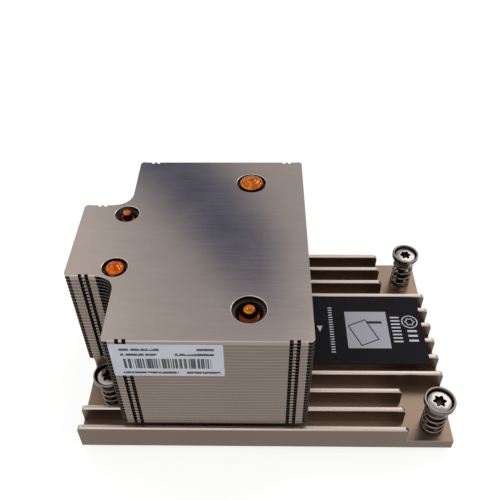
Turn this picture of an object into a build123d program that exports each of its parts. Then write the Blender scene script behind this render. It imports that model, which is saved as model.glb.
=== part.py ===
from build123d import *
import os
from math import atan, cos, degrees, pi, sin, sqrt

# Passive processor heatsink for a rack server: a ribbed base, a tower of folded fins on two
# bent heat pipes, and four captive spring screws.
# Millimetres. X runs along the ribs, Y across them, Z up through the fins. The origin is the
# middle of the base's footprint, on the contact face underneath. Round pieces other than the
# threads are drawn as prisms with many sides.

os.makedirs("parts", exist_ok=True)

# Sides of the prism that stands for a round piece
round_sides = 12

# Ribbed base
base_length = 118.0
base_depth = 78.0
plate_thickness = 4.0
pad_length = 76.0
pad_depth = 58.0
pad_height = 2.0
rib_count = 12
rib_thickness = 1.65
rib_height = 6.2
rib_edge_chamfer = 0.35
rib_end_chamfer = 1.2

# Pockets milled out of the ribs so that the screws have room: the right ones run out to the
# base's long edges
right_pocket_gap = 4.05
left_pocket_gap = 2.85
pocket_inward = 10.0
left_pocket_outward = 4.5

# Tower of fins, with an ear between the two left screws
fin_count = 29
fin_pitch = 1.425
sheet_thickness = 0.3
stack_gap = 0.02
tower_gap = 0.4
tower_width = 57.3
tower_depth = 80.4
tower_shift = 2.8
tower_cup_gap = 0.75
ear_reach = 15.3
ear_width = 32.5
notch_radius = 5.7
notch_steps = 2
top_notch_steps = 5
corner_radius = 1.2

# Folded flanges that close the front and back of the tower, and the gaps where they lock
flange_corner_gap = 1.75
lock_width = 3.0
lock_inset = 5.3
ear_lock_inset = 5.8
lock_bite = 0.6
lock_tongue = 1.0

# Heat pipes, each bent to a U with both legs standing in the tower
large_pipe_diameter = 8.0
large_pipe_inset = 17.7
large_pipe_span = 57.0
large_pipe_bend = 12.0
small_pipe_diameter = 6.0
small_pipe_reach = 0.7
small_pipe_span = 24.4
small_pipe_bend = 9.0
pipe_shift = -0.4
bend_steps = 3
pipe_fit = 0.08
hole_sides = 4
top_hole_sides = 14
channel_floor = 1.2
channel_fit = 0.1
pipe_seat_gap = 0.05
large_rim_gap = 1.0
small_rim_gap = 0.9
large_dome_rise = 2.3
small_dome_rise = 1.0
large_nipple_rise = 0.5
small_nipple_rise = 1.0
dome_share = 0.5
flat_share = 0.5
nipple_share = 0.55
shoulder_depth = 2.0
domed = "domed"
filled = "filled"

# Captive screws: a cup on a spring, and a screw that turns in the cup
right_screw_inset = 5.8
right_screw_spacing = 64.2
right_screw_shift = -0.9
left_screw_inset = 8.8
left_screw_spacing = 48.8
left_screw_shift = 0.2
spring_length = 10.0
spring_diameter = 7.6
spring_wire = 0.9
spring_turns = 4.5
spring_flat_turns = 0.5
spring_steps = 8
spring_seat_gap = 0.12
cup_height = 4.2
cup_rim_diameter = 9.7
cup_rim_height = 1.6
cup_foot_diameter = 7.8
cup_wall = 0.75
cup_floor = 1.3
head_diameter = 7.5
head_height = 2.1
head_seat_gap = 0.02
recess_lobes = 6
recess_across = 3.9
recess_waist = 2.8
recess_depth = 1.4
neck_diameter = 3.0
neck_fit = 0.08
plate_hole_diameter = 3.3
plate_hole_sides = 8
thread_diameter = 4.0
thread_tip_height = 0.4
thread_shoulder_gap = 0.05
relief_width = 9.0
relief_depth = 2.2

# Labels
front_label_length = 31.0
front_label_height = 14.2
front_label_drop = 1.3
front_label_thickness = 0.1
base_label_length = 42.2
base_label_width = 29.9
base_label_offset = 0.5
base_label_shift = 0.75
base_label_thickness = 0.25

# Levels and edges that follow from the sizes above
plate_bottom = pad_height
plate_top = plate_bottom + plate_thickness
rib_top = plate_top + rib_height
rib_pitch = (base_depth - rib_thickness) / (rib_count - 1)
tower_bottom = rib_top + tower_gap
tower_top = tower_bottom + fin_count * fin_pitch
left_screw_x = -base_length / 2 + left_screw_inset
right_screw_x = base_length / 2 - right_screw_inset
tower_left = left_screw_x + cup_rim_diameter / 2 + tower_cup_gap
tower_right = tower_left + tower_width
tower_front = tower_shift - tower_depth / 2
tower_back = tower_shift + tower_depth / 2
pipe_line_y = tower_shift + pipe_shift
large_pipe_x = tower_right - large_pipe_inset
small_pipe_x = tower_left - small_pipe_reach
ear_left = tower_left - ear_reach
ear_front = tower_shift - ear_width / 2
ear_back = tower_shift + ear_width / 2
cup_bottom = plate_top + spring_length

# Each pipe's x, the distance between its legs, its diameter and the radius of its bends
pipes = {
    "large_heat_pipe": (large_pipe_x, large_pipe_span, large_pipe_diameter, large_pipe_bend),
    "small_heat_pipe": (small_pipe_x, small_pipe_span, small_pipe_diameter, small_pipe_bend),
}


def block(x_from, x_to, y_from, y_to, z_from, z_to):
    """A plain block between two corners."""
    size = (x_to - x_from, y_to - y_from, z_to - z_from)
    middle = ((x_from + x_to) / 2, (y_from + y_to) / 2, (z_from + z_to) / 2)
    return Pos(*middle) * Box(*size)


def taper(x, y, z_from, z_to, low_diameter, high_diameter):
    """A round piece along Z that narrows or widens evenly, drawn from its wider end."""
    height = z_to - z_from
    inset = abs(low_diameter - high_diameter) / 2 * cos(pi / round_sides)
    widens = high_diameter > low_diameter
    section = RegularPolygon(max(low_diameter, high_diameter) / 2, round_sides)
    start = Pos(x, y, z_to) * Rot(180, 0, 0) if widens else Pos(x, y, z_from)
    return start * extrude(section, height, taper=degrees(atan(inset / height)))


def bar(x, y, z_from, z_to, diameter):
    """A round bar along Z, as a prism."""
    section = Pos(x, y, z_from) * RegularPolygon(diameter / 2, round_sides)
    return extrude(section, z_to - z_from)


def save(shape, node, colour):
    """Write one node's solids to its own STEP file."""
    shape.label = node
    shape.color = colour
    export_step(shape, f"parts/{node}.step")


# Ribbed base

def screw_places():
    """The four screws' names and axes."""
    places = {}
    for side, x, spacing, shift in (
        ("right", right_screw_x, right_screw_spacing, right_screw_shift),
        ("left", left_screw_x, left_screw_spacing, left_screw_shift),
    ):
        places[f"front_{side}"] = (x, shift - spacing / 2)
        places[f"rear_{side}"] = (x, shift + spacing / 2)
    return places


def rib_cut(side, y):
    """How far a rib at this y is cut back from the base's left or right end."""
    if side == "left":
        reach = left_screw_inset + cup_rim_diameter / 2 + left_pocket_gap
        outward = left_pocket_outward
    else:
        reach = right_screw_inset + cup_rim_diameter / 2 + right_pocket_gap
        outward = base_depth
    for row in ("front", "rear"):
        _, screw_y = screw_places()[f"{row}_{side}"]
        inward = abs(screw_y) - abs(y)
        if screw_y * y > 0 and -outward < inward < pocket_inward:
            return reach
    return 0.0


def rib(index):
    """One rib, cut short where a screw pocket is, with its top edges broken."""
    y = -base_depth / 2 + rib_thickness / 2 + index * rib_pitch
    x_from = -base_length / 2 + rib_cut("left", y)
    x_to = base_length / 2 - rib_cut("right", y)
    side = Polyline(
        (x_from, plate_top),
        (x_from, rib_top - rib_end_chamfer),
        (x_from + rib_end_chamfer, rib_top),
        (x_to - rib_end_chamfer, rib_top),
        (x_to, rib_top - rib_end_chamfer),
        (x_to, plate_top),
        close=True,
    )
    profile = Plane.XZ * make_face(side)
    solid = Pos(0, y, 0) * extrude(profile, rib_thickness / 2, both=True)
    top_edges = solid.edges().filter_by(Axis.X).group_by(Axis.Z)[-1]
    return chamfer(top_edges, rib_edge_chamfer)


def pipe_channel(x, span, diameter):
    """The space milled along Y through plate and ribs for the run and bends of a pipe."""
    half_width = diameter / 2 + channel_fit
    half_length = span / 2 + half_width
    return block(
        x - half_width,
        x + half_width,
        pipe_line_y - half_length,
        pipe_line_y + half_length,
        plate_bottom + channel_floor,
        rib_top + rib_height,
    )


def relief(x, y):
    """The slot milled under the plate, from a screw out to the base's end, for its thread."""
    end = base_length / 2
    return block(
        -end if x < 0 else x - relief_width / 2,
        x + relief_width / 2 if x < 0 else end,
        y - relief_width / 2,
        y + relief_width / 2,
        plate_bottom,
        plate_bottom + relief_depth,
    )


def finned_base():
    """Plate, contact pad and ribs in one piece, with pipe channels and screw holes."""
    half_length = base_length / 2
    half_depth = base_depth / 2
    solid = block(-half_length, half_length, -half_depth, half_depth, plate_bottom, plate_top)
    solid += block(-pad_length / 2, pad_length / 2, -pad_depth / 2, pad_depth / 2, 0, plate_bottom)
    for index in range(rib_count):
        solid += rib(index)
    for x, span, diameter, _ in pipes.values():
        solid -= pipe_channel(x, span, diameter)
    for x, y in screw_places().values():
        hole = RegularPolygon(plate_hole_diameter / 2, plate_hole_sides)
        solid -= Pos(x, y, plate_bottom) * extrude(hole, plate_thickness)
        solid -= relief(x, y)
    return solid


# Heat pipes

def pipe_run_height(diameter):
    """Height of a pipe's centre where it lies in its channel."""
    return plate_bottom + channel_floor + pipe_seat_gap + diameter / 2


def leg_lean(diameter, bend, height):
    """How far a leg reaches inward of its upright stretch, where a fin crosses its bend."""
    above_end = pipe_run_height(diameter) + bend - height
    if above_end <= 0:
        return 0.0
    inner_side = bend * cos(pi / 4 / bend_steps) - diameter / 2
    return bend - diameter / 2 - sqrt(inner_side**2 - above_end**2)


def end_foot(diameter, rise, kind):
    """Height at which the closed end of a leg starts to narrow."""
    if kind == domed:
        return tower_top + rise - dome_share * diameter / 2
    return tower_top - shoulder_depth - (1 - nipple_share) * diameter / 2


def closed_end(x, y, diameter, rise, kind):
    """A leg's end: a pressed dome, or a shoulder and the crimped nipple that it was filled by."""
    foot = end_foot(diameter, rise, kind)
    top = tower_top + rise
    if kind == domed:
        return taper(x, y, foot, top, diameter, flat_share * diameter)
    shoulder = tower_top - shoulder_depth
    nipple = nipple_share * diameter
    return taper(x, y, foot, shoulder, diameter, nipple) + bar(x, y, shoulder, top, nipple)


def half_path(x, y, side, diameter, bend, leg_top):
    """Points of a pipe's centre line, from the top of one leg round the bend at its foot."""
    low = pipe_run_height(diameter)
    points = [(x, y, leg_top)]
    for step in range(bend_steps + 1):
        angle = pi / 2 * step / bend_steps
        points.append((x, y - side * bend * (1 - cos(angle)), low + bend * (1 - sin(angle))))
    return points


def heat_pipe(name, front, rear):
    """One bent pipe. Each end is given as its kind and how far it rises above the tower."""
    x, span, diameter, bend = pipes[name]
    halves = []
    ends = []
    for side, (kind, rise) in ((-1, front), (1, rear)):
        y = pipe_line_y + side * span / 2
        halves.append(half_path(x, y, side, diameter, bend, end_foot(diameter, rise, kind)))
        ends.append(closed_end(x, y, diameter, rise, kind))
    path = Polyline(*halves[0], *reversed(halves[1]))
    start = Plane(origin=path @ 0, x_dir=(1, 0, 0), z_dir=path % 0)
    section = start * RegularPolygon(diameter / 2, round_sides)
    return sweep(section, path=path, transition=Transition.RIGHT) + ends


# Fins

def notch_points(ear_edge, outward, steps):
    """Points round the hollow corner between the tower's left face and an edge of the ear."""
    points = []
    for step in range(steps + 1):
        angle = pi / 2 * step / steps
        across = notch_radius * (1 - cos(angle))
        along = notch_radius * (1 - sin(angle))
        points.append((tower_left - across, ear_edge + outward * along))
    return points


def fin_outline(steps):
    """A fin's flat outline: the tower's rectangle, the ear and the notches beside it."""
    points = [(tower_left, tower_front), (tower_right, tower_front)]
    points += [(tower_right, tower_back), (tower_left, tower_back)]
    points += notch_points(ear_back, 1, steps)
    points += [(ear_left, ear_back), (ear_left, ear_front)]
    points += reversed(notch_points(ear_front, -1, steps))
    return make_face(Polyline(*points, close=True))


def locks():
    """Where the front edges lock to the fin below, as (x, edge y)."""
    return (
        (tower_left + lock_inset, tower_front),
        (tower_right - lock_inset, tower_front),
        (ear_left + ear_lock_inset, ear_front),
    )


def flanges():
    """The flange along each closed edge, as (x from, x to, edge y, inward)."""
    main = (tower_left + flange_corner_gap, tower_right - flange_corner_gap)
    ear = (ear_left + flange_corner_gap, tower_left - notch_radius)
    return (
        (*main, tower_front, 1),
        (*main, tower_back, -1),
        (*ear, ear_front, 1),
        (*ear, ear_back, -1),
    )


def flange_strips():
    """The same flanges, parted by the windows at their locks."""
    strips = []
    for x_from, x_to, edge, inward in flanges():
        start = x_from
        for lock_x in [x for x, lock_edge in locks() if lock_edge == edge]:
            strips.append((start, lock_x - lock_width / 2, edge, inward))
            start = lock_x + lock_width / 2
        strips.append((start, x_to, edge, inward))
    return strips


def pipe_legs():
    """Each pipe leg's x, y, diameter, bend radius and the way that its bend leans."""
    legs = []
    for x, span, diameter, bend in pipes.values():
        legs.append((x, pipe_line_y - span / 2, diameter, bend, 1))
        legs.append((x, pipe_line_y + span / 2, diameter, bend, -1))
    return legs


def leg_hole(x, y, diameter, bend, inward, height):
    """The hole for a pipe leg, drawn out inward where the leg still leans at this height."""
    radius = (diameter / 2 + pipe_fit) / cos(pi / hole_sides)
    lean = leg_lean(diameter, bend, height)
    corners = []
    for step in range(hole_sides):
        angle = 2 * pi * (step + 0.5) / hole_sides
        across = radius * sin(angle)
        drawn = inward * lean if across * inward > 0 else 0.0
        corners.append((x + radius * cos(angle), y + across + drawn))
    return make_face(Polyline(*corners, close=True))


def folded_sheet(face, top):
    """A flat sheet of this outline, with its front, back and ear edges folded down."""
    under = top - sheet_thickness
    foot = top - fin_pitch + stack_gap
    solid = Pos(0, 0, under) * extrude(face, sheet_thickness)
    for x_from, x_to, edge, inward in flange_strips():
        inner = edge + inward * sheet_thickness
        solid += block(x_from, x_to, min(edge, inner), max(edge, inner), foot, under)
    return solid


def folded_fin(outline, level):
    """One fin of the stack, with a close hole round each pipe leg."""
    top = tower_bottom + (level + 1) * fin_pitch
    face = outline
    for leg in pipe_legs():
        face -= leg_hole(*leg, top - sheet_thickness)
    return folded_sheet(face, top)


def outer_corners():
    """The fin's six outward corners."""
    corners = [(x, y) for x in (tower_left, tower_right) for y in (tower_front, tower_back)]
    return corners + [(ear_left, ear_front), (ear_left, ear_back)]


def lock_bites():
    """The pairs of small notches in the top fin's front edges, each side of a locking tongue."""
    bites = []
    for lock_x, edge in locks():
        for side in (-1, 1):
            middle = lock_x + side * (lock_width + lock_tongue) / 4
            half = (lock_width - lock_tongue) / 4
            bites.append((middle - half, middle + half, edge, edge + lock_bite))
    return bites


def top_fin():
    """The uppermost fin, with wide holes that show the ends of the pipes."""
    outline = fin_outline(top_notch_steps)
    square = [outline.vertices().sort_by_distance((x, y, 0))[0] for x, y in outer_corners()]
    outline = fillet(square, corner_radius)
    for x, y, diameter, _, _ in pipe_legs():
        gap = large_rim_gap if diameter == large_pipe_diameter else small_rim_gap
        outline -= Pos(x, y) * RegularPolygon(diameter / 2 + gap, top_hole_sides)
    solid = folded_sheet(outline, tower_top)
    for x_from, x_to, y_from, y_to in lock_bites():
        solid -= block(x_from, x_to, y_from, y_to, tower_top - sheet_thickness, tower_top)
    return solid


# Captive screws

def spring(x, y):
    """A coil spring with closed ends, standing on the plate under the cup."""
    mean_radius = (spring_diameter - spring_wire) / 2
    low = plate_top + spring_seat_gap + spring_wire / 2
    rise = spring_length - spring_wire - 2 * spring_seat_gap
    points = []
    for step in range(round(spring_turns * spring_steps) + 1):
        turn = step / spring_steps
        share = (turn - spring_flat_turns) / (spring_turns - 2 * spring_flat_turns)
        angle = 2 * pi * turn
        height = low + rise * min(max(share, 0), 1)
        points.append((x + mean_radius * cos(angle), y + mean_radius * sin(angle), height))
    path = Polyline(*points)
    start = Plane(origin=path @ 0, x_dir=(1, 0, 0), z_dir=path % 0)
    wire = start * Rectangle(spring_wire, spring_wire)
    return sweep(wire, path=path, transition=Transition.RIGHT)


def screw_cup(x, y):
    """The turned cup that caps the spring and holds the screw's head below its rim."""
    rim_foot = cup_bottom + cup_height - cup_rim_height
    top = cup_bottom + cup_height
    solid = taper(x, y, cup_bottom, rim_foot, cup_foot_diameter, cup_rim_diameter)
    solid += bar(x, y, rim_foot, top, cup_rim_diameter)
    solid -= bar(x, y, cup_bottom + cup_floor, top, cup_rim_diameter - 2 * cup_wall)
    return solid - bar(x, y, cup_bottom, top, neck_diameter + 2 * neck_fit)


def lobed_recess():
    """A lobed driver recess, as a star with two corners to each lobe."""
    corners = []
    for step in range(2 * recess_lobes):
        reach = (recess_across if step % 2 else recess_waist) / 2
        angle = pi * step / recess_lobes
        corners.append((reach * cos(angle), reach * sin(angle)))
    return make_face(Polyline(*corners, close=True))


def captive_screw(x, y):
    """A round-headed screw, necked so that its thread can't come back up through the plate."""
    seat = cup_bottom + cup_floor + head_seat_gap
    head_top = seat + head_height
    shoulder = plate_bottom + relief_depth - thread_shoulder_gap
    solid = bar(x, y, seat, head_top, head_diameter)
    solid += bar(x, y, shoulder, seat, neck_diameter)
    thread_length = shoulder - thread_tip_height
    thread_middle = (shoulder + thread_tip_height) / 2
    solid += Pos(x, y, thread_middle) * Cylinder(thread_diameter / 2, thread_length)
    return solid - Pos(x, y, head_top - recess_depth) * extrude(lobed_recess(), recess_depth)


# Labels

def front_label():
    """Film label on the tower's front flanges, near its top left corner."""
    left = tower_left + flange_corner_gap
    top = tower_top - front_label_drop
    return block(
        left,
        left + front_label_length,
        tower_front - front_label_thickness,
        tower_front,
        top - front_label_height,
        top,
    )


def base_label():
    """Stiff film label stuck on the tops of the middle ribs, beside the tower."""
    left = tower_right + base_label_offset
    return block(
        left,
        left + base_label_length,
        base_label_shift - base_label_width / 2,
        base_label_shift + base_label_width / 2,
        rib_top,
        rib_top + base_label_thickness,
    )


nickel = Color(0.78, 0.76, 0.73)
steel = Color(0.55, 0.54, 0.53)
copper = Color(0.85, 0.45, 0.22)
black_film = Color(0.08, 0.08, 0.09)
pale_film = Color(0.82, 0.83, 0.86)

save(finned_base(), "finned_base", nickel)
large_pipe = heat_pipe(
    "large_heat_pipe", front=(filled, large_nipple_rise), rear=(domed, large_dome_rise)
)
small_pipe = heat_pipe(
    "small_heat_pipe", front=(domed, small_dome_rise), rear=(filled, small_nipple_rise)
)
save(large_pipe, "large_heat_pipe", copper)
save(small_pipe, "small_heat_pipe", copper)
plain_outline = fin_outline(notch_steps)
for level in range(fin_count - 1):
    save(folded_fin(plain_outline, level), f"fin_{level + 1:02d}", nickel)
save(top_fin(), "top_fin", nickel)
save(front_label(), "front_label", pale_film)
save(base_label(), "base_label", black_film)
for place, (x, y) in screw_places().items():
    save(spring(x, y), f"spring_{place}", steel)
    save(screw_cup(x, y), f"cup_{place}", steel)
    save(captive_screw(x, y), f"screw_{place}", steel)
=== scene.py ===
from math import cos, pi, radians, sin, sqrt

import bmesh
import bpy
from mathutils import Matrix, Vector, noise


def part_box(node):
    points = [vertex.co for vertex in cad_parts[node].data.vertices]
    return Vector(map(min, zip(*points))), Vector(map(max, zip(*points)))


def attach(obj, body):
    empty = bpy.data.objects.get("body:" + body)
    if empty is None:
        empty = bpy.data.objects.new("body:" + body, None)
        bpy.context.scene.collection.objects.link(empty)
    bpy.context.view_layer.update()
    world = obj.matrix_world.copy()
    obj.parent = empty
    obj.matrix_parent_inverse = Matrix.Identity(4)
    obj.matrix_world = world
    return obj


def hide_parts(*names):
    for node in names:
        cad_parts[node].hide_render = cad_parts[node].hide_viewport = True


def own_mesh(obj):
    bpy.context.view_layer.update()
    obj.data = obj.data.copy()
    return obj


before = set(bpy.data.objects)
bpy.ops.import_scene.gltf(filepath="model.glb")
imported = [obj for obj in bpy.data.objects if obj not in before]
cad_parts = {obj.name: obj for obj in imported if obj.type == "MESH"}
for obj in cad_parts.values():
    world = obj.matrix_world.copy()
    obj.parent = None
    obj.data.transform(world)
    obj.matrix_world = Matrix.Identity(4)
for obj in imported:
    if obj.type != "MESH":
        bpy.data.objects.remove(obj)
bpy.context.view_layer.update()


# Ribbed base
# One piece of light alloy: plate, contact pad and twelve ribs, milled and then nickel plated.
# The cutter's marks run along the ribs, the outward edges are lightly rounded, and these edges
# and the tops of the ribs are rubbed bright, partly wear and partly a painted highlight. The
# floors between the ribs are lighter with painted light.

MM = 0.001


class Wire:
    """A node's output. Sums with numbers or other wires add Math nodes."""

    def __init__(self, finish, socket):
        self.finish = finish
        self.socket = socket

    def sum_with(self, operation, first, second):
        return self.finish.node("Math", {"operation": operation}, {0: first, 1: second})

    def __add__(self, other):
        return self.sum_with("ADD", self, other)

    def __radd__(self, other):
        return self.sum_with("ADD", other, self)

    def __sub__(self, other):
        return self.sum_with("SUBTRACT", self, other)

    def __rsub__(self, other):
        return self.sum_with("SUBTRACT", other, self)

    def __mul__(self, other):
        return self.sum_with("MULTIPLY", self, other)

    def __rmul__(self, other):
        return self.sum_with("MULTIPLY", other, self)


class Finish:
    """The nodes of one finish, added one at a time."""

    def __init__(self, tree):
        self.tree = tree

    def feed(self, socket, value):
        if isinstance(value, Wire):
            self.tree.links.new(value.socket, socket)
        else:
            socket.default_value = value

    def node(self, kind, settings=None, inputs=None, output=0):
        made = self.tree.nodes.new("ShaderNode" + kind)
        for name, value in (settings or {}).items():
            setattr(made, name, value)
        for name, value in (inputs or {}).items():
            self.feed(made.inputs[name], value)
        return Wire(self, made.outputs[output])

    def step(self, value, low, high):
        """0 below low, 1 above high and smooth between."""
        limits = {"Value": value, "From Min": low, "From Max": high}
        return self.node("MapRange", {"interpolation_type": "SMOOTHSTEP"}, limits)

    def mix(self, mask, first, second):
        """The first colour where the mask is 0, the second where it is 1."""
        return self.node("Mix", {"data_type": "RGBA"}, {0: mask, 6: first, 7: second}, 2)

    def painted(self, mark):
        """How strongly the mesh's faces carry a mark, 0 where they have none."""
        return self.node("Attribute", {"attribute_name": mark}, output="Fac")

    def along(self, place, axis):
        """How far a place lies along X, Y or Z."""
        return self.node("SeparateXYZ", None, {0: place}, axis)

    def size_of(self, value):
        """The value without its sign."""
        return self.node("Math", {"operation": "ABSOLUTE"}, {0: value})

    def relief(self, strength, distance, height):
        """Raises fine detail on the surface, by a height."""
        inputs = {"Strength": strength, "Distance": distance, "Height": height}
        self.feed(self.shader["Normal"], self.node("Bump", None, inputs))

    def mottle(self, place, scale, detail=3.0):
        """Soft cloudy noise, or streaks where the scale differs by axis."""
        spread = self.node("VectorMath", {"operation": "MULTIPLY"}, {0: place, 1: scale})
        return self.node("TexNoise", None, {"Vector": spread, "Scale": 1.0, "Detail": detail})


def new_finish(name, **constants):
    """A material with its Principled shader set, and the Finish that adds its nodes."""
    material = bpy.data.materials.new(name)
    material.use_nodes = True
    finish = Finish(material.node_tree)
    finish.material = material
    finish.shader = material.node_tree.nodes["Principled BSDF"].inputs
    for key, value in constants.items():
        finish.shader[key.replace("_", " ")].default_value = value
    return finish


def nickel(name, dull, bright, roughness, streak_scale, bump, wear_and_sheen_strength, rubbed_sheen_from=None):
    """Satin nickel plate: cloudy tone, streaks along the way it was worked, edges lightened partly
    by wear and partly as a painted highlight, and painted shade on faces in the fins' gaps.
    Where a height for the rubbed tops is given, the plate above it is rubbed bright, partly wear
    and partly a painted highlight, and the floors between its ribs are lighter with painted light."""
    # Wear and painted highlight: marked edges and rubbed tops are lightened toward this tone.
    wear_and_sheen_tone = (0.62, 0.54, 0.50, 1)
    # Painted shade tone for faces in the gaps between the fins.
    gap_shade_tone = (0.035, 0.027, 0.022, 1)
    rubbed_sheen_fade = 0.4 * MM
    finish = new_finish(name, Metallic=1.0)
    place = finish.node("TexCoord", output="Object")
    cloud = finish.mottle(place, (90, 90, 90))
    streaks = finish.mottle(place, streak_scale, 4.0)
    grain = finish.mottle(place, (2600, 4200, 4200), 2.0)
    wear_and_sheen = finish.painted("wear_and_sheen")
    tone = cloud * 0.4 + streaks * 0.35 + grain * 0.25
    colour = finish.mix(tone, dull, bright)
    if rubbed_sheen_from:
        height = finish.along(place, "Z")
        # The tops above this height are lightened, partly as wear and partly as a painted
        # highlight.
        wear_and_sheen = wear_and_sheen * 0.4 + finish.step(height, rubbed_sheen_from, rubbed_sheen_from + rubbed_sheen_fade) * 0.6
        # Painted light on the floors between the ribs.
        colour = paint_floor_light(finish, place, colour)
    colour = finish.mix(wear_and_sheen * wear_and_sheen_strength, colour, wear_and_sheen_tone)
    # Painted shade on the marked level faces and cut edges in the fins' gaps.
    gap_shade = finish.painted("gap_shade")
    colour = finish.mix(gap_shade * 0.85, colour, gap_shade_tone)
    finish.feed(finish.shader["Base Color"], colour)
    uneven = (cloud - 0.5) * 0.2 + (streaks - 0.5) * 0.25 + (grain - 0.5) * 0.25
    finish.feed(finish.shader["Roughness"], roughness * (1 + uneven) + gap_shade * 0.3)
    finish.relief(bump, 0.03 * MM, streaks * 0.6 + grain * 0.4)
    return finish.material


def paint_floor_light(finish, place, colour):
    """Paints light on the floors between the ribs, less toward the base's ends."""
    floor_light_tone = (0.38, 0.30, 0.245, 1)
    fade_from, fade_to = 34 * MM, 46 * MM
    from_middle = finish.size_of(finish.along(place, "X"))
    floor_light = finish.painted("floor_light") * (1 - finish.step(from_middle, fade_from, fade_to))
    return finish.mix(floor_light, colour, floor_light_tone)


def show(name, mesh, body, slot, material, *nodes):
    """Puts a finished mesh, in metres, on its body in place of its CAD nodes."""
    piece = bpy.data.objects.new(name, mesh)
    bpy.context.scene.collection.objects.link(piece)
    mesh.materials.clear()
    mesh.materials.append(material)
    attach(piece, body)
    if nodes:
        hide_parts(*nodes)
    return piece


def soften(mesh, angle):
    """Smooth shading, with the edges sharper than this angle kept sharp."""
    mesh.shade_smooth()
    mesh.set_sharp_from_angle(angle=radians(angle))


def mark_edge_wear_and_sheen(mesh):
    """Shades the faces that are square to an axis flat, and marks the others, such as the
    rounded edges between them, for wear and a painted highlight."""
    shape = bmesh.new()
    shape.from_mesh(mesh)
    wear_and_sheen = shape.faces.layers.float.new("wear_and_sheen")
    for face in shape.faces:
        square = max(abs(part) for part in face.normal) > 0.9999
        face[wear_and_sheen] = 0.0 if square else 1.0
        face.smooth = not square
    for edge in shape.edges:
        if len(set(face[wear_and_sheen] for face in edge.link_faces)) > 1:
            edge.smooth = False
    shape.to_mesh(mesh)
    shape.free()


def bevelled_copy(node, width, segments):
    """A node's own form with its outward edges rounded."""
    weld, flat, sharp = 0.002 * MM, radians(1), radians(20)
    shape = bmesh.new()
    shape.from_mesh(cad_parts[node].data)
    bmesh.ops.remove_doubles(shape, verts=shape.verts, dist=weld)
    bmesh.ops.dissolve_limit(shape, angle_limit=flat, verts=shape.verts, edges=shape.edges)
    corners = [e for e in shape.edges if e.is_convex and e.calc_face_angle() > sharp]
    bmesh.ops.bevel(
        shape, geom=corners, offset=width, segments=segments, profile=0.5, affect="EDGES",
        clamp_overlap=True,
    )
    mesh = bpy.data.meshes.new(node)
    shape.to_mesh(mesh)
    shape.free()
    soften(mesh, 35)
    mark_edge_wear_and_sheen(mesh)
    return mesh


def mark_floor_light(mesh):
    """Marks the plate's level top between the ribs, for painted light."""
    near = 0.1 * MM
    shape = bmesh.new()
    shape.from_mesh(mesh)
    floor_light = shape.faces.layers.float.new("floor_light")
    for face in shape.faces:
        height = face.calc_center_median().z
        level = face.normal.z > 0.99 and abs(height - plate_top) < near
        face[floor_light] = 1.0 if level else 0.0
    shape.to_mesh(mesh)
    shape.free()


plate_top = 6.0 * MM
rib_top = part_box("finned_base")[1].z
# Depth below the rib tops from which they are lightened, partly a painted highlight.
rubbed_sheen_depth = 0.6 * MM
edge_round = 0.14 * MM

base_nickel = nickel(
    "milled_nickel", (0.135, 0.096, 0.070, 1), (0.19, 0.138, 0.104, 1), roughness=0.35,
    streak_scale=(60, 2500, 2500), bump=0.3, wear_and_sheen_strength=0.7, rubbed_sheen_from=rib_top - rubbed_sheen_depth,
)
base_mesh = bevelled_copy("finned_base", edge_round, 2)
# Marks the floors between the ribs for painted light.
mark_floor_light(base_mesh)
show("ribbed_base", base_mesh, "root", "nickel_plate", base_nickel, "finned_base")


# Heat pipes
# Two drawn copper tubes, sealed at both ends and bent to a U. One end of each is pressed shut,
# the other is swaged to the crimped nipple through which it was filled.

PIPE_SIDES = 48
BEND_RINGS = 16
PIPE_SEAT = 3.25 * MM

pipes = {
    "large_heat_pipe": {"bend": 12.0 * MM, "front": "nipple", "rear": "dome"},
    "small_heat_pipe": {"bend": 9.0 * MM, "front": "crumpled", "rear": "nipple"},
}


def tip_profile(kind, radius, top):
    """(radius, height) from the leg's last plain ring to the tip's centre."""
    if kind == "dome":
        return [
            (radius, top - 2.6 * MM),
            (radius * 0.98, top - 2.05 * MM),
            (radius * 0.90, top - 1.65 * MM),
            (radius * 0.80, top - 1.5 * MM),
            (radius * 0.76, top - 1.6 * MM),
            (radius * 0.73, top - 1.3 * MM),
            (radius * 0.64, top - 1.0 * MM),
            (radius * 0.53, top - 0.9 * MM),
            (radius * 0.49, top - 1.05 * MM),
            (radius * 0.45, top - 0.75 * MM),
            (radius * 0.35, top - 0.5 * MM),
            (radius * 0.27, top - 0.45 * MM),
            (radius * 0.24, top - 0.55 * MM),
            (radius * 0.20, top - 0.2 * MM),
            (radius * 0.10, top - 0.03 * MM),
            (0, top),
        ]
    if kind == "crumpled":
        steps = 10
        dome = 0.62 * radius
        angles = [pi / 2 * step / steps for step in range(steps + 1)]
        return [(radius * cos(a), top - dome + dome * sin(a)) for a in angles]
    nipple = 0.44 * radius
    return [
        (radius, top - 4.2 * MM),
        (radius * 0.97, top - 3.6 * MM),
        (radius * 0.86, top - 3.1 * MM),
        (radius * 0.70, top - 2.85 * MM),
        (nipple * 1.12, top - 2.7 * MM),
        (nipple * 1.02, top - 2.4 * MM),
        (nipple, top - 0.7 * MM),
        (nipple * 0.92, top - 0.3 * MM),
        (nipple * 0.62, top - 0.05 * MM),
        (nipple * 0.36, top - 0.18 * MM),
        (0, top - 0.3 * MM),
    ]


def ring(shape, centre, along, radius):
    """A ring of vertices round a point of the tube's centre line, or one at a closed end."""
    if radius < 1e-6:
        return [shape.verts.new(centre)]
    across = Vector((1, 0, 0))
    side = along.cross(across).normalized()
    turns = [2 * pi * step / PIPE_SIDES for step in range(PIPE_SIDES)]
    return [shape.verts.new(centre + radius * (cos(t) * across + sin(t) * side)) for t in turns]


def skin(shape, rings):
    """Faces between each ring and the next."""
    for low, high in zip(rings, rings[1:]):
        count = max(len(low), len(high))
        for step in range(count):
            after = (step + 1) % count
            corners = [low[step % len(low)], low[after % len(low)]]
            corners += [high[after % len(high)], high[step % len(high)]]
            unique = list(dict.fromkeys(corners))
            if len(unique) > 2:
                shape.faces.new(unique)


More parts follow.
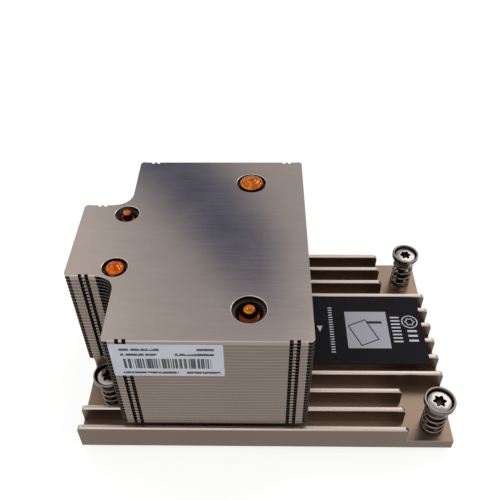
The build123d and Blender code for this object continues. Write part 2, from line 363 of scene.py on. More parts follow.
def tube(node, bend, ends):
    """One pipe, from the tip of its front leg along its run to the tip of its rear leg."""
    low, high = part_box(node)
    x = (low.x + high.x) / 2
    radius = (high.x - low.x) / 2
    run = PIPE_SEAT + radius
    legs = (low.y + radius, high.y - radius)
    stops = []
    for end, y, inward in (("front", legs[0], 1), ("rear", legs[1], -1)):
        top = tip_tops[node, end]
        half = []
        for ring_radius, height in reversed(tip_profile(ends[end], radius, top)):
            half.append((Vector((x, y, height)), Vector((0, 0, -1)), ring_radius))
        for step in range(BEND_RINGS + 1):
            angle = pi / 2 * step / BEND_RINGS
            centre = (x, y + inward * bend * (1 - cos(angle)), run + bend * (1 - sin(angle)))
            along = Vector((0, inward * sin(angle), -cos(angle)))
            half.append((Vector(centre), along, radius))
        if end == "rear":
            half = [(centre, -along, size) for centre, along, size in reversed(half)]
        stops += half
    shape = bmesh.new()
    skin(shape, [ring(shape, *stop) for stop in stops])
    if ends["front"] == "crumpled":
        dent_tip(shape, Vector((x, legs[0], tip_tops[node, "front"])), radius)
    bmesh.ops.recalc_face_normals(shape, faces=shape.faces)
    mark_groove_shade(shape, x, legs, radius)
    mesh = bpy.data.meshes.new(node)
    shape.to_mesh(mesh)
    shape.free()
    soften(mesh, 50)
    return mesh


def dent_tip(shape, top, radius):
    """Dents the pressed end unevenly, as a seal that was struck by hand."""
    reach = 1.2 * radius
    dent, shift = 0.55 * MM, 0.15 * MM
    dent_scale, shift_scale = 900, 1300
    for vertex in shape.verts:
        depth = (top - vertex.co).length
        if depth < reach:
            fade = 1 - depth / reach
            crease = 1 - abs(noise.noise(vertex.co * dent_scale)) * 4
            vertex.co.z -= dent * fade * max(0, crease)
            vertex.co.x += shift * fade * noise.noise(vertex.co * shift_scale)


def mark_groove_shade(shape, x, legs, radius):
    """Marks the walls of a tip's pressed rings that face the leg's own axis, for painted shade."""
    centre_pip = 0.28 * radius
    ringed_from = tower_top - 1 * MM
    groove_shade = shape.faces.layers.float.new("groove_shade")
    for face in shape.faces:
        spot = face.calc_center_median()
        leg_y = min(legs, key=lambda y: abs(y - spot.y))
        outward = Vector((spot.x - x, spot.y - leg_y))
        faces_axis = outward.length > centre_pip and outward.dot(face.normal.xy) < 0
        face[groove_shade] = 1.0 if faces_axis and spot.z > ringed_from else 0.0


def copper(name, bright, stained, unshaded_from):
    """Bare drawn copper, bright on the tips, with painted shade below a height and in the tips'
    grooves.
    """
    # Painted shade: the tips darken toward this tone below a height and in their grooves.
    tip_shade_tone = (0.07, 0.016, 0.006, 1)
    fade = 1.1 * MM
    finish = new_finish(name, Metallic=1.0)
    place = finish.node("TexCoord", output="Object")
    cloud = finish.mottle(place, (700, 700, 500))
    fine = finish.mottle(place, (3000, 3000, 3000), 5.0)
    stain = finish.step(cloud, 0.35, 0.7)
    out_of_shade = finish.step(finish.along(place, "Z"), unshaded_from - fade, unshaded_from)
    colour = finish.mix(stain, bright, stained)
    # Painted shade below the height and in the grooves.
    colour = finish.mix(out_of_shade * (1 - finish.painted("groove_shade") * 0.9), tip_shade_tone, colour)
    finish.feed(finish.shader["Base Color"], colour)
    finish.feed(finish.shader["Roughness"], 0.16 + stain * 0.1 + (fine - 0.5) * 0.12)
    finish.relief(0.4, 0.04 * MM, fine)
    return finish.material


tower_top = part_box("top_fin")[1].z
# The last height given to each copper is where the painted shade on its tips ends.
coppers = {
    "large_heat_pipe": copper(
        "bright_copper", (0.44, 0.128, 0.018, 1), (0.27, 0.056, 0.007, 1), tower_top + 0.4 * MM
    ),
    "small_heat_pipe": copper(
        "red_copper", (0.44, 0.095, 0.010, 1), (0.29, 0.042, 0.004, 1), tower_top - 0.4 * MM
    ),
}
tip_tops = {
    ("large_heat_pipe", "front"): tower_top + 0.5 * MM,
    ("large_heat_pipe", "rear"): tower_top + 2.3 * MM,
    ("small_heat_pipe", "front"): tower_top + 1.0 * MM,
    ("small_heat_pipe", "rear"): tower_top + 1.0 * MM,
}
for node, ends in pipes.items():
    tube_mesh = tube(node, ends["bend"], ends)
    show(node + "_tube", tube_mesh, "root", "copper", coppers[node], node)


# Fins
# Nickel-plated sheet of 0.3 mm, punched and folded. Each fin's front, back and ear edges turn
# down onto the next fin, where small tongues lock into it, so the stack zips together.

SHEET = 0.3 * MM
PITCH = 1.425 * MM
FIN_COUNT = 29
CORNER = 1.2 * MM
CORNER_STEPS = 6
NOTCH = 5.7 * MM
NOTCH_STEPS = 14
CORNER_GAP = 1.75 * MM
NOTCH_GAP = 0.3 * MM
HOLE_SIDES = 40
CLOSE_FIT = 0.08 * MM
TOWER_LENGTH = 57.3 * MM
EAR_HALF_WIDTH = 16.25 * MM
LOCK_FROM_END = 5.3 * MM
EAR_LOCK_FROM_END = 5.8 * MM
LOCK_WIDTH = 3.0 * MM
TONGUE = 0.9 * MM
TONGUE_DROP = 0.8 * MM
BITE = 0.8 * MM
FOLD = 0.18 * MM
CUT_EDGE = 0.04 * MM
JOINT_LINE = 0.04 * MM
LOWEST_GAP = 0.5 * MM

tower_low, tower_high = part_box("top_fin")
ear_left = tower_low.x
tower_right = tower_high.x
tower_front = tower_low.y
tower_back = tower_high.y
tower_left = tower_right - TOWER_LENGTH
ear_middle = (tower_front + tower_back) / 2
ear_front = ear_middle - EAR_HALF_WIDTH
ear_back = ear_middle + EAR_HALF_WIDTH
front_locks = (tower_left + LOCK_FROM_END, tower_right - LOCK_FROM_END)
ear_locks = (ear_left + EAR_LOCK_FROM_END,)


def arc(x, y, radius, from_degrees, to_degrees, steps):
    """Points on a circle's arc, none of them folded."""
    sweep = to_degrees - from_degrees
    turns = [radians(from_degrees + sweep * step / steps) for step in range(steps + 1)]
    return [(x + radius * cos(t), y + radius * sin(t), 0) for t in turns]


def folded_edge(x_from, x_to, y, inward, locks, flange):
    """An edge along X: flanges that turn down, and the bites and tongue of each lock."""
    way = 1 if x_to > x_from else -1
    points = []
    start = x_from
    for lock in sorted(locks, reverse=way < 0):
        near, far = lock - way * LOCK_WIDTH / 2, lock + way * LOCK_WIDTH / 2
        tongue_near, tongue_far = lock - way * TONGUE / 2, lock + way * TONGUE / 2
        points += [(start, y, flange), (near, y, 0)]
        points += [(near, y + inward * BITE, 0), (tongue_near, y + inward * BITE, 0)]
        points += [(tongue_near, y, TONGUE_DROP), (tongue_far, y, 0)]
        points += [(tongue_far, y + inward * BITE, 0), (far, y + inward * BITE, 0)]
        start = far
    return points + [(start, y, flange), (x_to, y, 0)]


def fin_outline(flange):
    """The fin's outline, anticlockwise, as (x, y, how far the edge after it folds down)."""
    r = CORNER
    steps = CORNER_STEPS
    left, right = tower_left + CORNER_GAP, tower_right - CORNER_GAP
    ear_end, ear_start = ear_left + CORNER_GAP, tower_left - NOTCH - NOTCH_GAP
    points = arc(tower_left + r, tower_front + r, r, 180, 270, steps)
    points += folded_edge(left, right, tower_front, 1, front_locks, flange)
    points += arc(tower_right - r, tower_front + r, r, 270, 360, steps)
    points += arc(tower_right - r, tower_back - r, r, 0, 90, steps)
    points += folded_edge(right, left, tower_back, -1, front_locks, flange)
    points += arc(tower_left + r, tower_back - r, r, 90, 180, steps)
    points += arc(tower_left - NOTCH, ear_back + NOTCH, NOTCH, 360, 270, NOTCH_STEPS)
    points += folded_edge(ear_start, ear_end, ear_back, -1, ear_locks, flange)
    points += arc(ear_left + r, ear_back - r, r, 90, 180, steps)
    points += arc(ear_left + r, ear_front + r, r, 180, 270, steps)
    points += folded_edge(ear_end, ear_start, ear_front, 1, ear_locks, flange)
    points += arc(tower_left - NOTCH, ear_front - NOTCH, NOTCH, 90, 0, NOTCH_STEPS)
    return points


def lean(node, bend, height):
    """How far a leg still leans inward where a sheet crosses its bend."""
    low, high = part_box(node)
    radius = (high.x - low.x) / 2
    below_bend_end = PIPE_SEAT + radius + bend - height
    if below_bend_end <= 0:
        return 0
    inner = bend - radius
    return inner - sqrt(max(0, inner**2 - below_bend_end**2))


def leg_rings(height, gaps):
    """The holes for the four pipe legs, drawn out inward where a leg still leans."""
    rings = []
    for node, ends in pipes.items():
        low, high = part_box(node)
        radius = (high.x - low.x) / 2
        x = (low.x + high.x) / 2
        drawn = lean(node, ends["bend"], height)
        for y, inward in ((low.y + radius, 1), (high.y - radius, -1)):
            points = []
            for px, py, _ in arc(0, 0, radius + gaps[node], 0, 360, HOLE_SIDES)[:-1]:
                points.append((x + px, y + py + (inward * drawn if py * inward > 0 else 0)))
            rings.append(points)
    return rings


def fin_mesh(name, top, gaps, flange, collar=0):
    """A fin: its outer surface with the flat sheet, its flanges and the collars that its holes
    may have, then given the sheet's thickness."""
    shape = bmesh.new()
    outline = fin_outline(flange)
    rim = [shape.verts.new((x, y, top)) for x, y, _ in outline]
    edges = [shape.edges.new((rim[i - 1], rim[i])) for i in range(len(rim))]
    holes = []
    for hole in leg_rings(top - SHEET, gaps):
        verts = [shape.verts.new((x, y, top)) for x, y in hole]
        edges += [shape.edges.new((verts[i - 1], verts[i])) for i in range(len(verts))]
        holes.append(verts)
    bmesh.ops.triangle_fill(shape, use_beauty=True, edges=edges, normal=(0, 0, 1))
    folds = []
    if collar:
        for verts in holes:
            low = [shape.verts.new((v.co.x, v.co.y, top - collar)) for v in verts]
            for i in range(len(verts)):
                shape.faces.new((verts[i], verts[i - 1], low[i - 1], low[i]))
                folds.append(shape.edges.get((verts[i - 1], verts[i])))
    for i, (x, y, depth) in enumerate(outline):
        if depth:
            first, second = rim[i], rim[(i + 1) % len(rim)]
            low_first = shape.verts.new((first.co.x, first.co.y, top - depth))
            low_second = shape.verts.new((second.co.x, second.co.y, top - depth))
            shape.faces.new((second, first, low_first, low_second))
            folds.append(shape.edges.get((first, second)))
    bmesh.ops.bevel(
        shape, geom=folds, offset=FOLD, segments=3, profile=0.5, affect="EDGES",
        clamp_overlap=False,
    )
    bmesh.ops.recalc_face_normals(shape, faces=shape.faces)
    top_face = max(shape.faces, key=lambda face: face.calc_area())
    if top_face.normal.z < 0:
        bmesh.ops.reverse_faces(shape, faces=shape.faces)
    mesh = bpy.data.meshes.new(name)
    shape.to_mesh(mesh)
    shape.free()
    return thickened(name, mesh)


def thickened(name, mesh):
    """The surface with the sheet's thickness inside it and its cut edges broken."""
    draft = bpy.data.objects.new(name + "_draft", mesh)
    bpy.context.scene.collection.objects.link(draft)
    wall = draft.modifiers.new("wall", "SOLIDIFY")
    wall.thickness = SHEET
    wall.offset = -1
    wall.use_even_offset = True
    broken = draft.modifiers.new("broken", "BEVEL")
    broken.width = CUT_EDGE
    broken.segments = 1
    broken.limit_method = "ANGLE"
    broken.angle_limit = radians(50)
    drawn = draft.evaluated_get(bpy.context.evaluated_depsgraph_get())
    made = bpy.data.meshes.new_from_object(drawn)
    made.name = name
    bpy.data.objects.remove(draft)
    soften(made, 40)
    mark_edge_wear_and_sheen(made)
    return made


def mark_gap_shade(mesh):
    """Marks the faces that get painted shade and more roughness: level ones and the sheet's cut
    edges.
    """
    low_face = 1.2 * SHEET
    shape = bmesh.new()
    shape.from_mesh(mesh)
    gap_shade = shape.faces.layers.float.new("gap_shade")
    for face in shape.faces:
        heights = [vertex.co.z for vertex in face.verts]
        level_face = abs(face.normal.z) > 0.99
        cut_edge = abs(face.normal.z) < 0.2 and max(heights) - min(heights) < low_face
        face[gap_shade] = 1.0 if level_face else 0.8 if cut_edge else 0.0
    shape.to_mesh(mesh)
    shape.free()


# The lower fins carry a darker copy of the top fin's sheet nickel: painted shade on their flanges.
shaded_fold_nickel = nickel(
    "shaded_folded_nickel", (0.162, 0.131, 0.109, 1), (0.198, 0.162, 0.138, 1), roughness=0.27,
    streak_scale=(70, 1800, 900), bump=0.15, wear_and_sheen_strength=0.2,
)
close_holes = {"large_heat_pipe": CLOSE_FIT, "small_heat_pipe": CLOSE_FIT}
for level in range(1, FIN_COUNT):
    top = tower_top - (FIN_COUNT - level) * PITCH
    node = f"fin_{level:02d}"
    flange = PITCH - (LOWEST_GAP if level == 1 else JOINT_LINE)
    mesh = fin_mesh(node, top, close_holes, flange)
    # Marks the faces in the fins' gaps for painted shade.
    mark_gap_shade(mesh)
    show(f"folded_{node}", mesh, "root", "nickel_sheet", shaded_fold_nickel, node)


# Top fin
# The same folded sheet, with wide holes that leave the pipe ends in view, each with a rolled
# collar. It carries the rolling grain and a bright edge, partly wear and partly a painted
# highlight; the lower fins carry a darker copy of its tone as painted shade.

COLLAR = 0.4 * MM

sheet_nickel = nickel(
    "rolled_nickel", (0.225, 0.19, 0.172, 1), (0.335, 0.292, 0.27, 1), roughness=0.15,
    streak_scale=(70, 1800, 900), bump=0.2, wear_and_sheen_strength=0.5,
)
wide_holes = {"large_heat_pipe": 1.0 * MM, "small_heat_pipe": 0.9 * MM}
top_mesh = fin_mesh("top_fin", tower_top, wide_holes, PITCH - JOINT_LINE, COLLAR)
show("folded_top_fin", top_mesh, "root", "nickel_sheet", sheet_nickel, "top_fin")


# Springs
# Four coil springs of bright wire, closed at both ends, each between the plate and a cup. On the
# real part they shorten as the screw above is pressed down; here each is drawn at one length.

WIRE = 0.45 * MM
COIL_RADIUS = 3.8 * MM
COIL_PLAY = 0.02 * MM
TURNS = 4.5
STEPS_PER_TURN = 28
WIRE_SIDES = 12
CLOSED = 0.6
places = ("front_right", "rear_right", "front_left", "rear_left")


def middle_of(node):
    """The centre of a CAD node's box."""
    low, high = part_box(node)
    return (low + high) / 2


def coil(place):
    """A spring's wire, of the radius WIRE, swept along its coil from the plate to the cup."""
    cup_low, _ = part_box(f"cup_{place}")
    middle = middle_of(f"cup_{place}")
    radius = COIL_RADIUS - WIRE
    first = plate_top + WIRE + COIL_PLAY
    rise = cup_low.z - plate_top - 2 * WIRE - 2 * COIL_PLAY
    up = Vector((0, 0, 1))
    turns = [2 * pi * side / WIRE_SIDES for side in range(WIRE_SIDES)]
    shape = bmesh.new()
    rings = []
    for step in range(round(TURNS * STEPS_PER_TURN) + 1):
        turn = step / STEPS_PER_TURN
        share = (turn - CLOSED) / (TURNS - 2 * CLOSED)
        height = first + rise * min(max(share, 0), 1)
        angle = 2 * pi * turn
        out = Vector((cos(angle), sin(angle), 0))
        centre = Vector((middle.x, middle.y, height)) + radius * out
        spots = [centre + WIRE * (cos(t) * out + sin(t) * up) for t in turns]
        rings.append([shape.verts.new(spot) for spot in spots])
    skin(shape, rings)
    shape.faces.new(rings[0])
    shape.faces.new(rings[-1])
    bmesh.ops.recalc_face_normals(shape, faces=shape.faces)
    # Painted shade on the wire's faces that turn toward the coil's middle.
    painted_shade = shape.faces.layers.float.new("painted_shade")
    for face in shape.faces:
        outward = (face.calc_center_median() - middle).xy.normalized()
        face[painted_shade] = 1.0 if outward.dot(face.normal.xy) < 0.2 else 0.0
    mesh = bpy.data.meshes.new(f"coil_{place}")
    shape.to_mesh(mesh)
    shape.free()
    soften(mesh, 50)
    return mesh


def steel(name, dull, bright, roughness):
    """Polished plated steel with fine turning marks, and painted shade on the marked faces:
    inside the coils, in the drive recess and on the neck."""
    # Painted shade tone.
    recess_shade_tone = (0.02, 0.017, 0.014, 1)
    finish = new_finish(name, Metallic=1.0)
    place = finish.node("TexCoord", output="Object")
    cloud = finish.mottle(place, (400, 400, 400))
    marks = finish.mottle(place, (300, 300, 6000), 3.0)
    colour = finish.mix(finish.painted("painted_shade"), finish.mix(cloud, dull, bright), recess_shade_tone)
    finish.feed(finish.shader["Base Color"], colour)
    varied = roughness + (cloud - 0.5) * 0.1 + (marks - 0.5) * 0.12
    finish.feed(finish.shader["Roughness"], varied)
    finish.relief(0.2, 0.02 * MM, marks)
    return finish.material


spring_steel = steel("spring_wire", (0.085, 0.068, 0.055, 1), (0.19, 0.16, 0.138, 1), 0.2)
for place in places:
    piece = show(
        f"coil_{place}", coil(place), "root", "spring_steel", spring_steel, f"spring_{place}"
    )
    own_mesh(piece)


# Cups
# Four turned steel cups with a rolled rim. Each caps its spring and holds the screw's head.

TURNED_SIDES = 64


def level_ring(shape, middle, height, reach, sides):
    """A level ring of vertices. The reach is its radius, or gives the radius for an angle."""
    points = []
    for side in range(sides):
        turn = 2 * pi * side / sides
        radius = reach(turn) if callable(reach) else reach
        spot = (middle.x + radius * cos(turn), middle.y + radius * sin(turn), height)
        points.append(shape.verts.new(spot))
    return points


def turned(name, profile, middle):
    """A solid of revolution about a vertical axis. The profile closes on itself."""
    shape = bmesh.new()
    loops = [level_ring(shape, middle, height, radius, TURNED_SIDES) for radius, height in profile]
    skin(shape, loops + [loops[0]])
    bmesh.ops.recalc_face_normals(shape, faces=shape.faces)
    mesh = bpy.data.meshes.new(name)
    shape.to_mesh(mesh)
    shape.free()
    soften(mesh, 35)
    return mesh


def cup_profile(low, top):
    """(radius, height) round the cup's section, with rounded rim and foot."""
    rim = 4.85 * MM
    foot = 3.9 * MM
    bore = 1.58 * MM
    wall = 0.75 * MM
    seat = low + 1.3 * MM
    shoulder = top - 1.6 * MM
    return [
        (bore, low),
        (foot - 0.2 * MM, low),
        (foot, low + 0.2 * MM),
        (foot + 0.12 * MM, low + 0.9 * MM),
        (rim - 0.25 * MM, shoulder - 0.15 * MM),
        (rim, shoulder + 0.2 * MM),
        (rim, top - 0.25 * MM),
        (rim - 0.08 * MM, top - 0.07 * MM),
        (rim - 0.25 * MM, top),
        (rim - wall + 0.2 * MM, top),
        (rim - wall + 0.06 * MM, top - 0.06 * MM),
        (rim - wall, top - 0.25 * MM),
        (rim - wall, seat + 0.3 * MM),
        (rim - wall - 0.3 * MM, seat),
        (bore, seat),
    ]


cup_steel = steel("turned_steel", (0.09, 0.076, 0.066, 1), (0.20, 0.178, 0.16, 1), 0.16)
for place in places:
    low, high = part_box(f"cup_{place}")
    profile = cup_profile(low.z, high.z)
    mesh = turned(f"turned_cup_{place}", profile, middle_of(f"cup_{place}"))
    show(f"turned_cup_{place}", mesh, f"{place}_cup", "plated_steel", cup_steel, f"cup_{place}")


# Screws
# Four plated steel screws, each with a flat round head and a six-lobed recess, a neck that
# passes through the cup, the spring and the plate, and a thread at its tip.

LOBES = 6
SCREW_SIDES = 72
HEAD_RADIUS = 3.75 * MM
HEAD_DEPTH = 2.1 * MM
RECESS_DEPTH = 1.4 * MM
NECK_RADIUS = 1.5 * MM
NECK_END = 4.15 * MM
THREAD_RADIUS = 2.0 * MM
THREAD_DEPTH = 0.3 * MM
THREAD_PITCH = 0.7 * MM


def lobe_radius(angle):
    """The recess's rim: six rounded lobes."""
    mean, swing = 1.72 * MM, 0.33 * MM
    return mean + swing * cos(LOBES * angle)


def head_rings(add_ring, top):
    """The recess from its floor up, then over the head and in to the neck."""
    seat = top - HEAD_DEPTH
    add_ring(top - RECESS_DEPTH, lambda turn: lobe_radius(turn) * 0.9)
    add_ring(top - 0.12 * MM, lobe_radius)
    add_ring(top, lambda turn: lobe_radius(turn) + 0.12 * MM)
    add_ring(top, HEAD_RADIUS - 0.35 * MM)
    add_ring(top - 0.1 * MM, HEAD_RADIUS - 0.12 * MM)
    add_ring(top - 0.3 * MM, HEAD_RADIUS)
    add_ring(seat + 0.15 * MM, HEAD_RADIUS)
    add_ring(seat, HEAD_RADIUS - 0.15 * MM)
    add_ring(seat, NECK_RADIUS + 0.1 * MM)
    add_ring(seat - 0.1 * MM, NECK_RADIUS)
    add_ring(NECK_END, NECK_RADIUS)


def thread_rings(add_ring, tip):
    """The thread as close rings, whose crest moves round with the height."""
    first = NECK_END - 0.02 * MM
    last = tip + 0.3 * MM
    steps = 6 * round((NECK_END - tip) / THREAD_PITCH)
    for step in range(steps + 1):
        height = first - (first - last) * step / steps

        def crest(turn, height=height):
            phase = height / THREAD_PITCH + turn / (2 * pi)
            saw = abs(2 * (phase % 1) - 1)
            return THREAD_RADIUS - THREAD_DEPTH * (1 - saw)

        add_ring(height, crest)
    add_ring(tip, THREAD_RADIUS - 0.45 * MM)


def mark_screw_shade(shape, middle, head_top):
    """Marks the recess for painted shade, and the neck under the head nearly as dark."""
    recess_reach = 2.2 * MM
    seat = head_top - HEAD_DEPTH
    painted_shade = shape.faces.layers.float.new("painted_shade")
    for face in shape.faces:
        centre = face.calc_center_median()
        in_recess = 0.05 * MM < head_top - centre.z < HEAD_DEPTH and face.normal.z > -0.2
        in_reach = (centre - middle).xy.length <= recess_reach
        face[painted_shade] = 1.0 if in_recess and in_reach else 0.0
        if NECK_END < centre.z < seat - 0.05 * MM:
            face[painted_shade] = 0.9


def screw_mesh(place):
    """Head, recess, neck and thread as one skin of rings, from the recess's floor to the tip."""
    low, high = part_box(f"screw_{place}")
    middle = middle_of(f"screw_{place}")
    shape = bmesh.new()
    rings = [[shape.verts.new((middle.x, middle.y, high.z - RECESS_DEPTH - 0.25 * MM))]]

    def add_ring(height, reach):
        rings.append(level_ring(shape, middle, height, reach, SCREW_SIDES))

    head_rings(add_ring, high.z)
    thread_rings(add_ring, low.z)
    rings.append([shape.verts.new((middle.x, middle.y, low.z))])
    skin(shape, rings)
    bmesh.ops.recalc_face_normals(shape, faces=shape.faces)
    mark_screw_shade(shape, middle, high.z)
    mesh = bpy.data.meshes.new(f"necked_screw_{place}")
    shape.to_mesh(mesh)
    shape.free()
    soften(mesh, 35)
    return mesh


head_steel = steel("plated_steel", (0.20, 0.186, 0.174, 1), (0.33, 0.308, 0.292, 1), 0.2)
for place in places:
    show(
        f"necked_screw_{place}", screw_mesh(place), f"{place}_screw", "plated_steel", head_steel,
        f"screw_{place}",
    )


# Front label
# Semi-matt film on the tower's front flanges, with rows of small dark print and a strip of
# bars. The print stands for no words: it is dashes and plain bars.

def film(name, node, corner, thickness_axis):
    """A thin sheet with rounded corners, filling its CAD node's box."""
    corner_steps = 5
    low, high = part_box(node)
    across, up = [axis for axis in range(3) if axis != thickness_axis]
    shape = bmesh.new()
    outline = []
    for a, b, start in ((1, 1, 0), (0, 1, 90), (0, 0, 180), (1, 0, 270)):
        centre_a = (high[across] - corner) if a else (low[across] + corner)
        centre_b = (high[up] - corner) if b else (low[up] + corner)
        outline += arc(centre_a, centre_b, corner, start, start + 90, corner_steps)
    sheets = []
    for level in (low[thickness_axis], high[thickness_axis]):
        verts = []
        for a, b, _ in outline:
            point = [0, 0, 0]
            point[across] = a
            point[up] = b
            point[thickness_axis] = level
            verts.append(shape.verts.new(point))
        shape.faces.new(verts)
        sheets.append(verts)
    skin(shape, sheets)
    bmesh.ops.recalc_face_normals(shape, faces=shape.faces)
    mesh = bpy.data.meshes.new(name)
    shape.to_mesh(mesh)
    shape.free()
    return mesh


def inside(finish, value, low, high):
    """1 where the value lies between two limits, with a soft edge."""
    soft = 0.05 * MM
    above = finish.step(value, low - soft, low + soft)
    below = finish.step(value, high - soft, high + soft)
    return above * (1 - below)


def patch_of(finish, across, up, left, right, bottom, top):
    """1 inside a rectangle whose limits are in millimetres."""
    in_width = inside(finish, across, left * MM, right * MM)
    return in_width * inside(finish, up, bottom * MM, top * MM)


def printed_film():
    """Blue-grey white film with rows of dashes above and below a strip of bars. The rows' limits
    are in millimetres, from the label's left and from its top."""
    dull_paper, bright_paper = (0.32, 0.335, 0.385, 1), (0.40, 0.415, 0.465, 1)
    ink_tone = (0.018, 0.017, 0.022, 1)
    rows = (
        (2.7, 13.6, 1.8, 2.8),
        (2.8, 12.8, 4.0, 5.0),
        (23.8, 28.4, 1.8, 2.8),
        (17.7, 28.4, 4.0, 5.0),
        (2.6, 18.2, 12.2, 13.2),
        (20.3, 29.8, 12.2, 13.2),
    )
    finish = new_finish("printed_film", Metallic=0.0)
    low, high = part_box("front_label")
    place = finish.node("TexCoord", output="Object")
    x = finish.along(place, "X") - low.x
    z = high.z - finish.along(place, "Z")
    bars = finish.mottle(place, (1620, 0, 0), 2.0)
    dashes = finish.mottle(place, (1300, 0, 500), 1.0)
    ink = patch_of(finish, x, z, 3.0, 27.6, 6.3, 10.8) * finish.step(bars, 0.475, 0.495)
    for row in rows:
        ink = ink + patch_of(finish, x, z, *row) * finish.step(dashes, 0.38, 0.43)
    grime = finish.mottle(place, (120, 120, 120))
    paper = finish.mix(grime, dull_paper, bright_paper)
    colour = finish.mix(finish.step(ink, 0.2, 0.6), paper, ink_tone)
    finish.feed(finish.shader["Base Color"], colour)
    fine = finish.mottle(place, (4000, 4000, 4000))
    finish.feed(finish.shader["Roughness"], 0.42 + (fine - 0.5) * 0.15)
    finish.relief(0.1, 0.02 * MM, fine)
    return finish.material


label_mesh = film("front_film", "front_label", 0.5 * MM, 1)
show("front_film", label_mesh, "root", "pale_film", printed_film(), "front_label")


# Base label
# Stiff black film stuck on the middle ribs, with a pale panel that holds a plain slanted frame
# and a short bar. A lobed ring, columns of dashes and a small triangle stand beside it, and
# there are no words on it.

def slanted_frame(finish, x, y):
    """The outline of a plain rectangle, turned a little, and a short bar beside it."""
    slant, width, depth, line = radians(24), 3.6, 5.0, 0.42
    right = x - 21.2 * MM
    ahead = y - 13.4 * MM
    along = right * cos(slant) + ahead * sin(slant)
    away = ahead * cos(slant) - right * sin(slant)
    outer = patch_of(finish, along, away, -width, width, -depth, depth)
    inner = patch_of(finish, along, away, line - width, width - line, line - depth, depth - line)
    return outer - inner + patch_of(finish, x, y, 23.0, 28.2, 17.4, 18.5)


def lobed_ring(finish, x, y):
    """A thin ring with six lobes inside it, like the screws' recess."""
    right = x - 38.1 * MM
    ahead = y - 18.3 * MM
    reach = finish.node("Math", {"operation": "SQRT"}, {0: right * right + ahead * ahead})
    angle = finish.node("Math", {"operation": "ARCTAN2"}, {0: ahead, 1: right})
    lobes = finish.node("Math", {"operation": "COSINE"}, {0: angle * LOBES})
    marks = inside(finish, reach, 2.5 * MM, 2.85 * MM)
    return marks + inside(finish, reach - lobes * 0.22 * MM, 1.2 * MM, 1.55 * MM)


def dash_column(finish, x, y, period, limits):
    """A column of plain dashes. The period and the limits are in millimetres."""
    bottom = limits[2] * MM
    steps = (y - bottom) * (1 / (period * MM))
    beat = finish.node("Math", {"operation": "FRACT"}, {0: steps})
    dashes = finish.step(beat, 0.54, 0.58) * (1 - finish.step(beat, 0.94, 0.98))
    return dashes * patch_of(finish, x, y, *limits)


def triangle(finish, x, y):
    """A small triangle that widens from its point toward the rear."""
    middle, point, end, spread = 6.0 * MM, 13.6 * MM, 16.3 * MM, 0.37
    soft = 0.05 * MM
    side = (y - point) * spread - finish.size_of(x - middle)
    return finish.step(side, 0, soft) * (1 - finish.step(y, end, end + soft))


def pale_marks(finish, x, y):
    """The lobed ring, three columns of plain dashes and the small triangle."""
    marks = lobed_ring(finish, x, y)
    for period, limits in (
        (2.1, (36.7, 40.0, 8.3, 14.6)),
        (1.54, (31.4, 34.6, 8.3, 20.6)),
        (1.1, (9.4, 10.8, 4.0, 25.3)),
    ):
        marks = marks + dash_column(finish, x, y, period, limits)
    return marks + triangle(finish, x, y)


def black_film():
    """Near-black film with a pale panel and a few pale marks."""
    deep_black, dusty_black = (0.003, 0.0025, 0.004, 1), (0.010, 0.009, 0.013, 1)
    panel_tone, line_tone = (0.30, 0.295, 0.335, 1), (0.02, 0.02, 0.025, 1)
    mark_tone = (0.42, 0.42, 0.46, 1)
    finish = new_finish("black_film", Metallic=0.0, Specular_IOR_Level=0.04)
    low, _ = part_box("base_label")
    place = finish.node("TexCoord", output="Object")
    x = finish.along(place, "X") - low.x
    y = finish.along(place, "Y") - low.y
    panel = patch_of(finish, x, y, 15.3, 30.1, 6.5, 22.9)
    lines = finish.step(slanted_frame(finish, x, y), 0.3, 0.7)
    marks = finish.step(pale_marks(finish, x, y), 0.3, 0.7)
    specks = finish.mottle(place, (500, 500, 500), 6.0)
    colour = finish.mix(panel, finish.mix(specks, deep_black, dusty_black), panel_tone)
    colour = finish.mix(lines, colour, line_tone)
    colour = finish.mix(marks, colour, mark_tone)
    finish.feed(finish.shader["Base Color"], colour)
    finish.feed(finish.shader["Roughness"], 0.5 + (specks - 0.5) * 0.2)
    finish.relief(0.15, 0.03 * MM, specks)
    return finish.material


dark_mesh = film("base_film", "base_label", 1.2 * MM, 2)
show("base_film", dark_mesh, "root", "black_film", black_film(), "base_label")


# Floor, light and camera
# A pale floor under a pale sky, a broad soft lamp behind and above, and the camera where the
# photograph was taken.

def floor():
    """A broad pale floor that keeps the object's shadow."""
    size, glow_strength, glow_share = 6.0, 1.06, 0.75
    shape = bmesh.new()
    bmesh.ops.create_grid(shape, x_segments=1, y_segments=1, size=size)
    mesh = bpy.data.meshes.new("floor")
    shape.to_mesh(mesh)
    shape.free()
    finish = new_finish("floor", Metallic=0.0)
    place = finish.node("TexCoord", output="Object")
    cloud = finish.mottle(place, (8, 8, 8))
    colour = finish.mix(cloud, (0.80, 0.80, 0.80, 1), (0.84, 0.84, 0.84, 1))
    finish.feed(finish.shader["Base Color"], colour)
    finish.feed(finish.shader["Roughness"], 0.7 + (cloud - 0.5) * 0.1)
    tree = finish.material.node_tree
    glow = finish.node("Emission", None, {"Strength": glow_strength})
    lit = Wire(finish, tree.nodes["Principled BSDF"].outputs[0])
    camera_ray = finish.node("LightPath", output="Is Camera Ray")
    glossy_ray = finish.node("LightPath", output="Is Glossy Ray")
    passed_ray = finish.node("LightPath", output="Is Transmission Ray")
    seen = (camera_ray + glossy_ray + passed_ray) * glow_share
    mixed = finish.node("MixShader", None, {0: seen, 1: lit, 2: glow})
    tree.links.new(mixed.socket, tree.nodes["Material Output"].inputs["Surface"])
    mesh.materials.append(finish.material)
    piece = bpy.data.objects.new("floor", mesh)
    bpy.context.scene.collection.objects.link(piece)


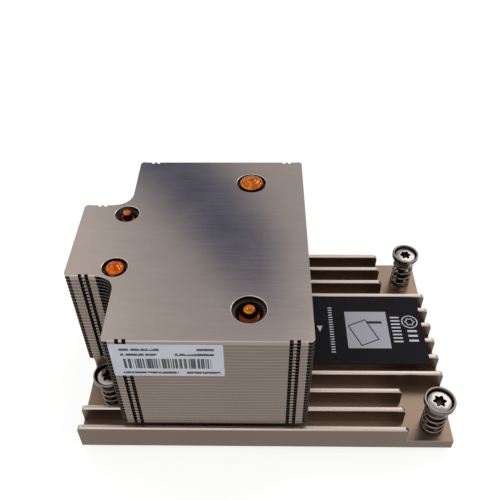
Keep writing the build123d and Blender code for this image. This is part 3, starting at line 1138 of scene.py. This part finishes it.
def sky():
    """A pale sky, brighter on the left, with one soft blue-grey patch that leans across the
    back. The top fin mirrors the patch. Turns are in radians, from straight behind."""
    bright, plain, blue_grey = (1.45, 1.42, 1.4, 1), (1.04, 1.03, 1.02, 1), (0.13, 0.18, 0.33, 1)
    patch_turn, patch_lean = 0.886, 1.23
    world = bpy.data.worlds.new("sky")
    bpy.context.scene.world = world
    world.use_nodes = True
    finish = Finish(world.node_tree)
    ray = finish.node("TexCoord", output="Generated")
    side = finish.along(ray, "X")
    back = finish.along(ray, "Y")
    up = finish.along(ray, "Z")
    turn = finish.node("Math", {"operation": "ARCTAN2"}, {0: side, 1: back})
    across = finish.size_of(turn + patch_turn - up * patch_lean)
    patch = 1 - finish.step(across, radians(2), radians(8.7))
    patch = patch * finish.step(up, 0.4, 0.5) * (1 - finish.step(up, 0.70, 0.80))
    patch = patch * (1 - finish.step(turn, 0.03, 0.07))
    colour = finish.mix(finish.step(turn, -0.4, -0.22), bright, plain)
    colour = finish.mix(patch, colour, blue_grey)
    background = world.node_tree.nodes["Background"]
    finish.feed(background.inputs["Color"], colour)
    background.inputs["Strength"].default_value = 1.0


def lamp(name, place, aim, size, watts, colour):
    """A broad soft lamp."""
    light = bpy.data.lights.new(name, "AREA")
    light.shape = "RECTANGLE"
    light.size, light.size_y = size
    light.energy = watts
    light.color = colour
    piece = bpy.data.objects.new(name, light)
    piece.location = place
    piece.rotation_euler = (Vector(aim) - Vector(place)).to_track_quat("-Z", "Y").to_euler()
    bpy.context.scene.collection.objects.link(piece)


def camera():
    """The photograph's viewpoint, from a fit of the object's corners."""
    place = Vector((-2.05, -140.14, 185.97)) * MM
    pitch, yaw, roll = radians(43.77), radians(-1.27), radians(-0.74)
    ahead = Vector((sin(yaw) * cos(pitch), cos(yaw) * cos(pitch), -sin(pitch)))
    right = Vector((cos(yaw), -sin(yaw), 0))
    up = right.cross(ahead)
    turned_right = cos(roll) * right + sin(roll) * up
    turned_up = -sin(roll) * right + cos(roll) * up
    data = bpy.data.cameras.new("camera")
    data.lens = 45.05
    data.sensor_width = 36
    data.clip_start = 0.01
    piece = bpy.data.objects.new("camera", data)
    columns = Matrix((turned_right, turned_up, -ahead)).transposed()
    piece.matrix_world = Matrix.Translation(place) @ columns.to_4x4()
    bpy.context.scene.collection.objects.link(piece)
    bpy.context.scene.camera = piece


floor()
sky()
lamp("soft_lamp", (0.42, 0.6, 0.8), (0, 0, 0.02), (0.5, 0.5), 2.2, (1.0, 0.97, 0.94))
camera()
bpy.context.scene.view_settings.view_transform = "Standard"


def corners(bounds):
    """A box as plain lists."""
    return [[float(value) for value in corner] for corner in bounds]
